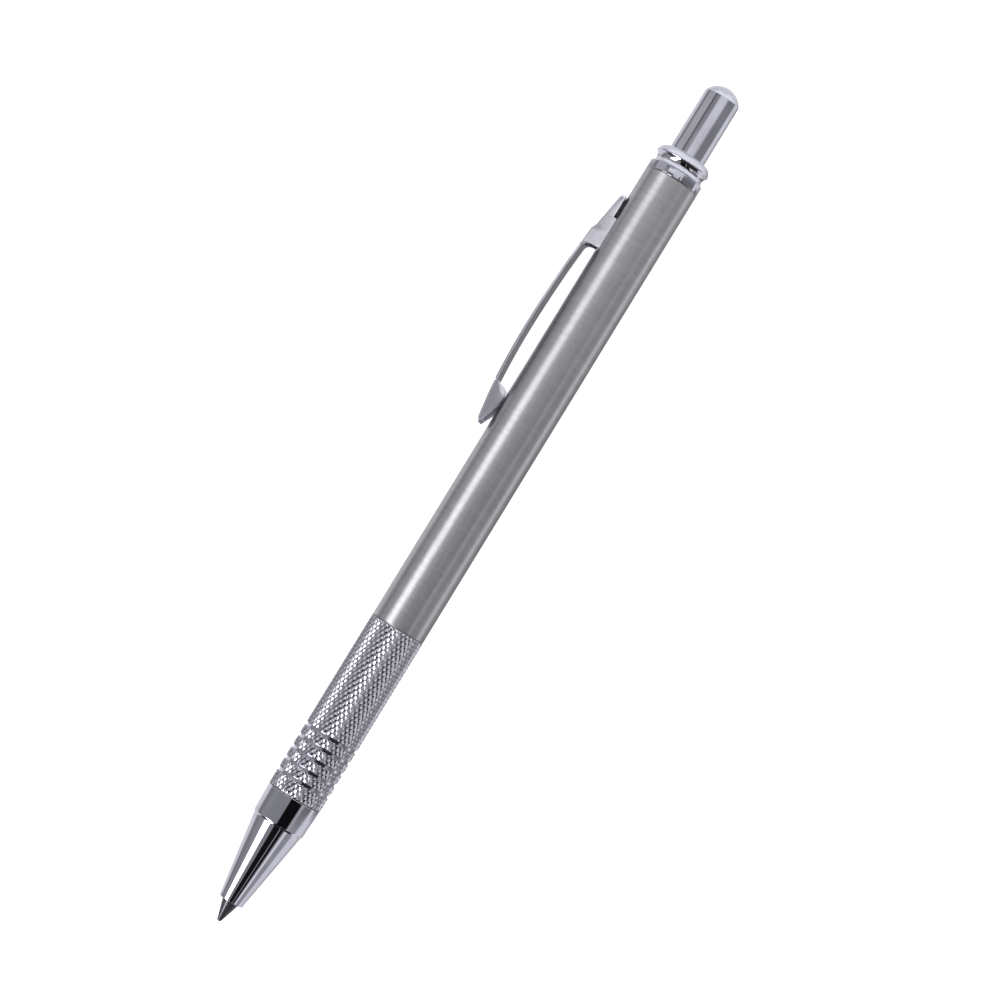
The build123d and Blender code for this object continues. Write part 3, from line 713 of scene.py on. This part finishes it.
def groove_radius(station):
    """Radius left by the five ring grooves and the two end chamfers, for arrays."""
    radius = np.full_like(station, GRIP_R)
    slope = GROOVE_DEPTH / ((GROOVE_TOP - GROOVE_FLOOR) / 2)
    for number in range(GROOVES):
        away = np.abs(station - FIRST_GROOVE - number * GROOVE_PITCH)
        depth = np.clip((GROOVE_TOP / 2 - away) * slope, 0, GROOVE_DEPTH)
        radius = np.minimum(radius, GRIP_R - depth)
    front = GRIP_R - JOINT_CHAMFER + (station - NOZZLE_END)
    back = GRIP_R - JOINT_CHAMFER + (GRIP_END - station)
    return np.minimum(radius, np.minimum(front, back))


def make_grip():
    """Grip sleeve with its knurl cut by the ring grooves."""
    step = KNURL_PITCH / KNURL_CELLS
    rows = [NOZZLE_END, NOZZLE_END + JOINT_CHAMFER, GRIP_END - JOINT_CHAMFER, GRIP_END]
    edges = []
    for number in range(GROOVES):
        middle = FIRST_GROOVE + number * GROOVE_PITCH
        for half in (GROOVE_TOP / 2, GROOVE_FLOOR / 2):
            edges += [middle - half, middle + half]
    keep = 0.3 * step  # a row nearer than this to a groove's edge is left out
    for row in np.arange(np.ceil(NOZZLE_END / step) * step, GRIP_END, step):
        if min(abs(row - other) for other in rows[:4] + edges) > keep:
            rows.append(row)
    rows = np.array(sorted(rows + edges))
    columns = KNURL_STARTS * KNURL_CELLS
    turn = np.arange(columns) / columns
    height = knurl_height(rows[:, None], turn[None, :])
    plain = (rows < NOZZLE_END + JOINT_CHAMFER / 2) | (rows > KNURL_END)
    height[plain, :] = PLAIN_HEIGHT
    radius = np.minimum(GRIP_R - KNURL_DEPTH * (1 - height), groove_radius(rows)[:, None])
    inner = [
        (GRIP_END, GRIP_REAR_BORE_R),
        (GRIP_REAR_BORE_START, GRIP_REAR_BORE_R),
        (GRIP_REAR_BORE_START, GRIP_BORE_R),
        (NOZZLE_END, GRIP_BORE_R),
    ]
    stations = np.concatenate([rows, [x for x, r in inner]])
    radii = np.vstack([radius, *[np.full((1, columns), r) for x, r in inner]])
    angle = 2 * pi * turn[None, :]
    points = np.stack(
        [
            np.repeat(stations[:, None], columns, axis=1) * MM + TIP.x,
            radii * np.cos(angle) * MM + TIP.y,
            radii * np.sin(angle) * MM + TIP.z,
        ],
        axis=-1,
    ).reshape(-1, 3)
    rings = len(stations)
    cell = np.floor((rows[:-1] + rows[1:]) / 2 / step).astype(int)
    faces = []
    for ring in range(rings):
        after = (ring + 1) % rings
        for column in range(columns):
            side = (column + 1) % columns
            a, b = ring * columns + column, ring * columns + side
            c, d = after * columns + side, after * columns + column
            if ring < len(rows) - 1:
                # the diagonal follows whichever valley or crest crosses the cell
                if (cell[ring] + column) % 2:
                    faces += [(a, b, d), (b, c, d)]
                else:
                    faces += [(a, b, c), (a, c, d)]
            else:
                faces.append((a, b, c, d))
    return mesh_piece("grip_knurled", points, faces, crease=KNURL_CREASE)


def clip_lines():
    """The clip's side view: web line and flange bottom line, as arrays of (station, out)."""
    web = smooth_line(CLIP_TOP)
    knee = bezier_line(CLIP_KNEE)
    fold_end = (CLIP_TAIL_END, CLIP_TAIL[1] - CLIP_SHEET)
    fold_points = [
        CLIP_TAIL,
        (CLIP_TAIL[0] + CLIP_FOLD_REACH, CLIP_TAIL[1] - CLIP_FOLD_DROP),
        (CLIP_TAIL_END, fold_end[1] + CLIP_FOLD_REACH),
        fold_end,
    ]
    fold = bezier_line(fold_points, 6)
    top = np.vstack([web, knee[1:], fold])
    foot = smooth_line(CLIP_FOOT_EDGE)
    arch = bezier_line(CLIP_ARCH)
    return top, foot, arch


def make_clip():
    """Pocket clip: one sheet folded to a channel, flat along the strap and flanged at both ends."""
    top, foot, arch = clip_lines()
    tail_bottom = sqrt((TUBE_R + CLIP_TAIL_GAP) ** 2 - (CLIP_HALF_WIDTH - CLIP_SHEET) ** 2)
    jump = 0.02  # station step across a vertical edge
    foot_end = CLIP_FOOT_EDGE[-1][0]
    arch_end = CLIP_ARCH[-1][0]
    corner = CLIP_CORNER

    def web_top(s):
        return float(np.interp(s, top[:, 0], top[:, 1]))

    def flange_bottom(s):
        under = web_top(s) - CLIP_SHEET
        if s <= foot_end:
            return min(under, float(np.interp(s, foot[:, 0], foot[:, 1])))
        if s < CLIP_ARCH[0][0]:
            return under
        if s <= arch_end:
            return min(under, float(np.interp(s, arch[:, 0], arch[:, 1])))
        if s <= CLIP_TAB_END:
            return CLIP_TAB_BOTTOM
        return tail_bottom

    def half_width(s):
        """Half the clip's width: full but for the rounded corners of the sheet at both ends."""
        from_foot = s - top[0, 0]
        from_tail = CLIP_TAIL_END - s
        near = min(from_foot, from_tail)
        if near >= corner:
            return CLIP_HALF_WIDTH
        return CLIP_HALF_WIDTH - corner + sqrt(max(0.0, corner**2 - (corner - near) ** 2))

    corner_steps = [corner * (1 - cos(radians(a))) for a in CLIP_CORNER_TURNS]
    stations = [top[0, 0] + c for c in corner_steps]
    stations += [s for s in foot[:, 0] if s > stations[-1] + CLIP_ROW_GAP]
    # the rows start a little past each change of shape
    stations += list(np.linspace(foot_end + 0.12, CLIP_ARCH[0][0], CLIP_STRAP_ROWS))
    stations += [s for s in arch[1:, 0] if s < arch_end - jump]
    stations += [arch_end - jump, arch_end + jump]
    stations += list(np.linspace(arch_end + 0.4, CLIP_KNEE[0][0], CLIP_ROOT_ROWS))
    stations += list(np.linspace(CLIP_KNEE[0][0] + 0.15, CLIP_KNEE[-1][0] + 0.15, CLIP_KNEE_ROWS))
    stations += list(np.linspace(CLIP_KNEE[-1][0] + 0.5, CLIP_TAB_END - jump, CLIP_TAB_ROWS))
    stations += [CLIP_TAB_END + jump, *CLIP_TAIL_ROWS]
    wall = CLIP_TAIL_END - CLIP_SHEET
    stations += [wall - jump, wall + jump]
    tail_steps = [CLIP_TAIL_END - c for c in reversed(corner_steps)]
    stations += [s for s in tail_steps if s > wall + 2 * jump]
    stations = sorted(set(round(float(s), 4) for s in stations))

    def quarter(centre_across, centre_out, radius, start, end, steps=4):
        turns = [radians(start + (end - start) * i / steps) for i in range(steps + 1)]
        return [(centre_across + radius * cos(t), centre_out + radius * sin(t)) for t in turns]

    def section(s):
        """One side of the closed section, from the web's middle out, down and back under it."""
        t, b, w = web_top(s), flange_bottom(s), half_width(s)
        under = t - CLIP_SHEET
        leg = under - b
        bend = min(CLIP_BEND, CLIP_LEAST_BEND + leg / 2)
        edge = CLIP_EDGE
        half = [(0, t), *[(w * share, t) for share in CLIP_WEB_SHARES]]
        half += quarter(w - bend, t - bend, bend, 90, 0)
        low = min(b, t - bend - 2 * edge)
        half += [(w, (t - bend + low + edge) / 2)]
        half += quarter(w - edge, low + edge, edge, 0, -90)
        if s > wall:
            # the end wall closes the channel down to the barrel's curve
            bottom_r = TUBE_R + CLIP_TAIL_GAP
            for share in CLIP_END_WALL:
                y = (w - edge) * share
                half.append((y, max(low, sqrt(bottom_r**2 - y**2))))
            return half
        inside = w - CLIP_SHEET
        inner_edge = min(edge, leg / 2)
        inner_bend = min(CLIP_INNER_BEND, leg / 2)
        half += quarter(inside + inner_edge, b + inner_edge, inner_edge, -90, -180)
        half += quarter(inside - inner_bend, under - inner_bend, inner_bend, 0, 90, 3)
        half += [(inside * 0.5, under), (0, under)]
        return half

    points = []
    loops = []
    for s in stations:
        half = section(s)
        mirrored = [(-y, z) for y, z in reversed(half[1:-1])]
        ring = half + mirrored
        loops.append(range(len(points), len(points) + len(ring)))
        points += [on_pen(s, z, y) for y, z in ring]
    faces = []
    for near, far in zip(loops, loops[1:]):
        count = len(near)
        for i in range(count):
            j = (i + 1) % count
            faces.append((near[i], near[j], far[j], far[i]))
    faces.append(tuple(loops[0]))
    faces.append(tuple(loops[-1]))
    return mesh_piece("pocket_clip", points, faces, crease=CLIP_CREASE)


# Floor, light and camera --------------------------------------------------------------------------------
VIEW_TILT = 10.2  # degrees that the line of sight leans from the vertical towards +Y
CAMERA_DISTANCE = 470.0
CAMERA_STATION = 61.5
TARGET_STATION = 77.48
SIDE_SHIFT = 3.1
IMAGE_TURN = 58.5  # degrees between the pen and the picture's right-hand direction
LENS = 110.0
SENSOR = 36.0
NEAR_LIMIT = 0.01  # metres, as the floor's size is
FAR_LIMIT = 20.0
FLOOR_SIZE = 6.0
FLOOR_GLOW = 0.8
TENT_LEVEL = 1.0
TENT_TINT = (0.995, 0.995, 1.04, 1.0)
WHITE = (1.0, 1.0, 1.0, 1.0)


def make_floor():
    """Pale table top under the pen."""
    mesh = bpy.data.meshes.new("floor")
    half = FLOOR_SIZE / 2
    corners = [(-half, -half, 0), (half, -half, 0), (half, half, 0), (-half, half, 0)]
    mesh.from_pydata(corners, [], [(0, 1, 2, 3)])
    floor = bpy.data.objects.new("floor", mesh)
    bpy.context.scene.collection.objects.link(floor)
    floor.location.z = cad_low.z
    dress(floor, table_top("pale_table"))
    floor.visible_glossy = False  # the tent's white floor shows in the metal instead


# What the studio holds, in order from back to front. Turn is the angle round the pen's length from
# straight up, positive towards the clip; reach is the angle away from the pen's middle, positive
# towards the button; soft is how gently an edge fades. These are in degrees. Level is brightness.
STUDIO = [
    # turn from, turn to, reach from, reach to, soft, level
    (8, 76, -90, 3, 3, 0.36),  # wall on the clip's side, high up
    (24, 76, 1, 18, 12, 0.42),  # same wall towards the button
    (28, 46, 8.5, 18, 9, 0.29),  # shelf on it
    (46, 57, 8.5, 18, 4, 0.21),  # its edge
    (55, 57.5, 8.5, 18, 1, 0.03),  # gap beside the edge
    (72, 124, -45, 18, 3, 0.40),  # same wall, lower down
    (100, 116, -45, 18, 6, 0.32),  # its foot, in shade
    (60, 104, 3, 18, 4, 0.62),  # pale panel
    (-172, -118, -60, 30, 8, 0.66),  # floor beyond the pen
    (-172, -125, 8, 30, 5, 0.52),  # same, towards the button
    (124, 182, 2.5, 8, 4, 0.3),  # shade beside the clip
    (-182, -140, 2.5, 8, 4, 0.3),  # same, past straight down
    (-77, -20, -32, -3, 5, 0.45),  # wall on the far side
    (-90, -20, -95, -34, 5, 0.06),  # its unlit end
    (-85, -20, -6, 9, 4, 0.21),  # same wall, nearer
    (-85, -28, 7, 18, 9, 0.27),  # its far end
    (-46, -35, -32, -14, 5, 1.2),  # strip light
    (-46, -35, -14, 2, 5, 0.6),  # its dim end
    (-90, 40, -90, -48, 8, 0.04),  # unlit end of the room
    (70, 124, -90, -45, 6, 0.06),  # same, on the clip's side
    (-28, 20, -60, -12, 3, 0.012),  # camera and its stand
    (-32, 15, -14, 4, 3, 0.008),  # same, over the pen's middle
    (-13, -8, 0, 6.5, 2, 0.0),  # cable hanging from the camera
    (-13, -8, 13, 40, 2, 0.05),  # same, towards the button
    (16, 44, 1.0, 6.2, 2, 0.16),  # dark card beside the camera
    (16, 44, 6, 8.3, 2, 1.3),  # white card on it
    (-100, 100, 24, 80, 8, 1.3),  # tent behind the button
    (-13, -9, -60, -15, 2, 0.45),  # gap beside the stand
    (-158, -102, -4.9, 7.5, 1.5, 0.2),  # shade under the pen
    (42.5, 69, -80, -13, 6, 9.0),  # window
]


def make_light():
    """White studio tent round the pen, with a window, walls and the dark camera inside it."""
    world = bpy.data.worlds.new("studio")
    bpy.context.scene.world = world
    world.use_nodes = True
    nodes = Nodes(world.node_tree)
    way = nodes.add("ShaderNodeTexCoord").outputs["Generated"]
    parts = nodes.add("ShaderNodeSeparateXYZ")
    nodes.wire(way, parts.inputs[0])
    x, y, z = parts.outputs
    turn = nodes.math("DEGREES", nodes.math("ARCTAN2", y, z))
    reach = nodes.math("DEGREES", nodes.math("ARCSINE", x))
    level = TENT_LEVEL
    for turn_from, turn_to, reach_from, reach_to, soft, card_level in STUDIO:
        half = soft / 2
        inside = [
            nodes.spread(turn, turn_from - half, turn_from + half, 0.0, 1.0),
            nodes.spread(turn, turn_to - half, turn_to + half, 1.0, 0.0),
            nodes.spread(reach, reach_from - half, reach_from + half, 0.0, 1.0),
            nodes.spread(reach, reach_to - half, reach_to + half, 1.0, 0.0),
        ]
        across = nodes.math("MULTIPLY", *inside[:2])
        cover = nodes.math("MULTIPLY", across, nodes.math("MULTIPLY", *inside[2:]))
        step = nodes.math("MULTIPLY", cover, nodes.math("SUBTRACT", card_level, level))
        level = nodes.math("ADD", level, step)
    reflected = nodes.add("ShaderNodeBackground")
    reflected.inputs["Color"].default_value = TENT_TINT
    nodes.wire(level, reflected.inputs["Strength"])
    backdrop = nodes.add("ShaderNodeBackground")
    backdrop.inputs["Color"].default_value = WHITE
    path = nodes.add("ShaderNodeLightPath")
    mix = nodes.add("ShaderNodeMixShader")
    nodes.wire(path.outputs["Is Camera Ray"], mix.inputs[0])
    nodes.wire(reflected.outputs[0], mix.inputs[1])
    nodes.wire(backdrop.outputs[0], mix.inputs[2])
    output = nodes.add("ShaderNodeOutputWorld")
    nodes.wire(mix.outputs[0], output.inputs["Surface"])
    scene = bpy.context.scene
    scene.view_settings.view_transform = "Standard"
    scene.view_settings.look = "None"


def make_camera():
    """Camera where the photograph's was: nearly above the pen, a little towards the clip's side."""
    tilt = radians(VIEW_TILT)
    to_viewer = Vector((0, sin(tilt), cos(tilt)))
    clip_side = Vector((0, cos(tilt), -sin(tilt)))
    foot = TIP + (CAMERA_STATION * ALONG - SIDE_SHIFT * clip_side) * MM
    target = TIP + (TARGET_STATION * ALONG - SIDE_SHIFT * clip_side) * MM
    turn = radians(IMAGE_TURN)
    right = cos(turn) * ALONG - sin(turn) * clip_side
    place = foot + CAMERA_DISTANCE * MM * to_viewer
    back = (place - target).normalized()
    right = (right - right.dot(back) * back).normalized()
    up = back.cross(right)
    camera = bpy.data.objects.new("camera", bpy.data.cameras.new("camera"))
    bpy.context.scene.collection.objects.link(camera)
    camera.matrix_world = Matrix.Translation(place) @ Matrix((right, up, back)).transposed().to_4x4()
    camera.data.lens = LENS
    camera.data.sensor_width = SENSOR
    camera.data.clip_start = NEAR_LIMIT
    camera.data.clip_end = FAR_LIMIT
    bpy.context.scene.camera = camera


# Assembly ------------------------------------------------------------------------------------------------
make_floor()
make_light()
make_camera()

NOSE_CHROME = chrome("nose_chrome", PLATE, NOSE_ROUGH, (NOZZLE_END, TUBE_END))
BUTTON_CHROME = chrome("button_chrome", PLATE, BUTTON_ROUGH)
WIRE = turned_metal("spring_wire", (0.50, 0.50, 0.53), (0.34, 0.34, 0.36), 0.25)
spring = make_spring()
PIECES = [
    # piece, body, node it stands for, the record's slot, material
    (make_lead(), "lead", "lead", "graphite", graphite("graphite")),
    (make_nozzle(), "holder", "nozzle", "chrome_nose", NOSE_CHROME),
    (make_grip(), "holder", "grip_sleeve", "knurled_grip", knurled("knurled_nickel")),
    (make_end_collar(), "holder", "end_collar", "chrome_nose", NOSE_CHROME),
    (make_button(), "cap", "button_cap", "chrome_button", BUTTON_CHROME),
    (make_clip(), "clip", "clip", "clip_steel", sheet_steel("clip_steel")),
    (spring, "holder", "return_spring", "spring_wire", WIRE),
]
for piece, body, node, slot, finish in PIECES:
    dress(piece, finish)
    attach(piece, body)
    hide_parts(node)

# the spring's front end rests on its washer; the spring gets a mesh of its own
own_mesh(spring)

BRASS = turned_metal("turned_brass", (0.80, 0.62, 0.30), (0.62, 0.45, 0.20), 0.25)
CLUTCH = turned_metal("clutch_brass", (0.83, 0.66, 0.34), (0.66, 0.49, 0.23), 0.2)
INNER = turned_metal("inner_steel", (0.58, 0.58, 0.60), (0.42, 0.41, 0.41), 0.35)
POINTER = turned_metal("pointer_steel", (0.48, 0.48, 0.50), (0.33, 0.32, 0.32), 0.3)
NODE_FINISH = {
    "barrel_tube": brushed("brushed_barrel"),
    "clutch_ring": CLUTCH,
    "collet_jaw_1": CLUTCH,
    "collet_jaw_2": CLUTCH,
    "collet_jaw_3": CLUTCH,
    "collet_body": CLUTCH,
    "collet_socket": BRASS,
    "grip_connector": BRASS,
    "lead_tube": BRASS,
    "button_stem": BRASS,
    "clip_lock_sleeve": INNER,
    "spring_washer": INNER,
    "cap_snap_ring": WIRE,
    "lead_pointer": POINTER,
}
for node, finish in NODE_FINISH.items():
    dress(frame["nodes"][node], finish)

bpy.context.view_layer.update()
